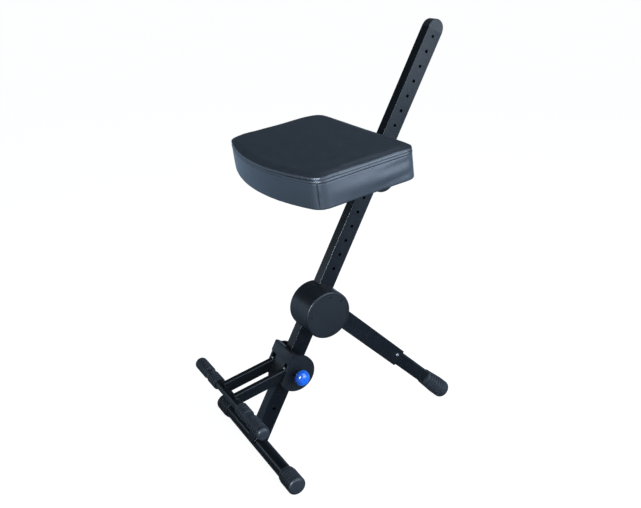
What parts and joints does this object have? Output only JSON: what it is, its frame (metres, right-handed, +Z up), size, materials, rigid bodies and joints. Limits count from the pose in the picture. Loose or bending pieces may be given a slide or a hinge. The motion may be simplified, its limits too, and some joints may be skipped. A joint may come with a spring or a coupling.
{
  "type": "guitar stool",
  "caption": "Folding guitar stool: leaning square post on a floor bar, padded seat and footrest that slide and lock on it, and a telescoping rear leg on a round hub.",
  "frame": {"origin": "middle of the bounding box, on the floor", "axes": "+Z up, the sitter faces -Y, +X towards the sitter's left"},
  "size_m": [0.383, 0.5902, 0.9167],
  "materials": {
    "frame_paint": "satin",
    "hub_plastic": "matte",
    "trim_plastic": "satin",
    "roller_plastic": "satin",
    "foot_rubber": "matte",
    "knob_blue": "gloss",
    "seat_vinyl": "satin",
    "seat_plywood": "matte",
    "dark_screws": "satin",
    "bare_steel": "satin"
  },
  "bodies": {
    "frame": {"post_tube": "frame_paint", "post_cap": "trim_plastic", "floor_bar": "frame_paint", "bar_foot_near": "foot_rubber", "bar_foot_far": "foot_rubber", "hub_far_shell": "hub_plastic", "hub_shell_screws": "dark_screws", "hub_post_plate": "bare_steel", "hub_friction_washer": "trim_plastic", "hub_near_washer": "bare_steel", "hub_far_washer": "bare_steel", "hub_axle_bolt": "bare_steel", "hub_axle_nut": "bare_steel", "hub_axle_cap": "hub_plastic", "hub_lock_spring": "bare_steel"},
    "hub_lock": {"hub_lock_pin": "bare_steel", "hub_lock_knob": "trim_plastic"},
    "rear_leg": {"hub_leg_plate": "bare_steel", "hub_near_shell": "hub_plastic", "hub_cover": "hub_plastic", "hub_cover_screws": "dark_screws", "leg_outer_tube": "frame_paint", "leg_bush": "trim_plastic", "leg_clamp_screw": "bare_steel"},
    "leg_slider": {"leg_inner_tube": "frame_paint", "rear_foot": "foot_rubber"},
    "seat": {"seat_cushion": "seat_vinyl", "seat_board": "seat_plywood", "seat_plate": "frame_paint", "seat_screws": "dark_screws", "seat_cheek_near": "frame_paint", "seat_cheek_far": "frame_paint", "seat_guide_near": "trim_plastic", "seat_guide_far": "trim_plastic", "seat_front_roller": "roller_plastic", "seat_rear_roller": "roller_plastic", "seat_roller_bolts": "bare_steel", "seat_lock_barrel": "frame_paint", "seat_lock_spring": "bare_steel"},
    "seat_lock": {"seat_lock_pin": "bare_steel", "seat_lock_knob": "trim_plastic"},
    "footrest": {"footrest_clamp": "hub_plastic", "footrest_clamp_screws": "dark_screws", "footrest_liner_near": "trim_plastic", "footrest_liner_far": "trim_plastic", "footrest_roller": "roller_plastic", "footrest_roller_bolt": "bare_steel", "footrest_arm_near": "frame_paint", "footrest_arm_far": "frame_paint", "footrest_arm_screws": "bare_steel", "footrest_bar": "frame_paint", "footrest_sleeve_near": "foot_rubber", "footrest_sleeve_far": "foot_rubber", "footrest_end_cap_near": "foot_rubber", "footrest_end_cap_far": "foot_rubber", "footrest_lock_barrel": "frame_paint", "footrest_lock_spring": "bare_steel"},
    "footrest_lock": {"footrest_lock_pin": "bare_steel", "footrest_lock_knob": "knob_blue"}
  },
  "joints": [
    {"name": "rear_leg_fold", "type": "hinge", "parent": "frame", "child": "rear_leg", "pos_m": [0.02, -0.06987, 0.31921], "axis": [1, 0, 0], "range_deg": [0, 102]},
    {"name": "rear_leg_extend", "type": "slide", "parent": "rear_leg", "child": "leg_slider", "axis": [0, 0.7349, -0.6782], "range_m": [-0.06, 0.04]},
    {"name": "seat_slide", "type": "slide", "parent": "frame", "child": "seat", "axis": [0, 0.4478, 0.8942], "range_m": [-0.201, 0.268]},
    {"name": "seat_lock_pull", "type": "slide", "parent": "seat", "child": "seat_lock", "axis": [-1, 0, 0], "range_m": [0, 0.008], "stiffness_N_per_m": 400, "springref_m": -0.005, "deforming": ["seat_lock_spring"]},
    {"name": "footrest_slide", "type": "slide", "parent": "frame", "child": "footrest", "axis": [0, 0.4478, 0.8942], "range_m": [-0.1005, 0]},
    {"name": "footrest_lock_pull", "type": "slide", "parent": "footrest", "child": "footrest_lock", "axis": [1, 0, 0], "range_m": [0, 0.005], "stiffness_N_per_m": 400, "springref_m": -0.005, "deforming": ["footrest_lock_spring"]},
    {"name": "hub_lock_pull", "type": "slide", "parent": "frame", "child": "hub_lock", "axis": [-1, 0, 0], "range_m": [0, 0.006], "stiffness_N_per_m": 400, "springref_m": -0.005, "deforming": ["hub_lock_spring"]}
  ]
}
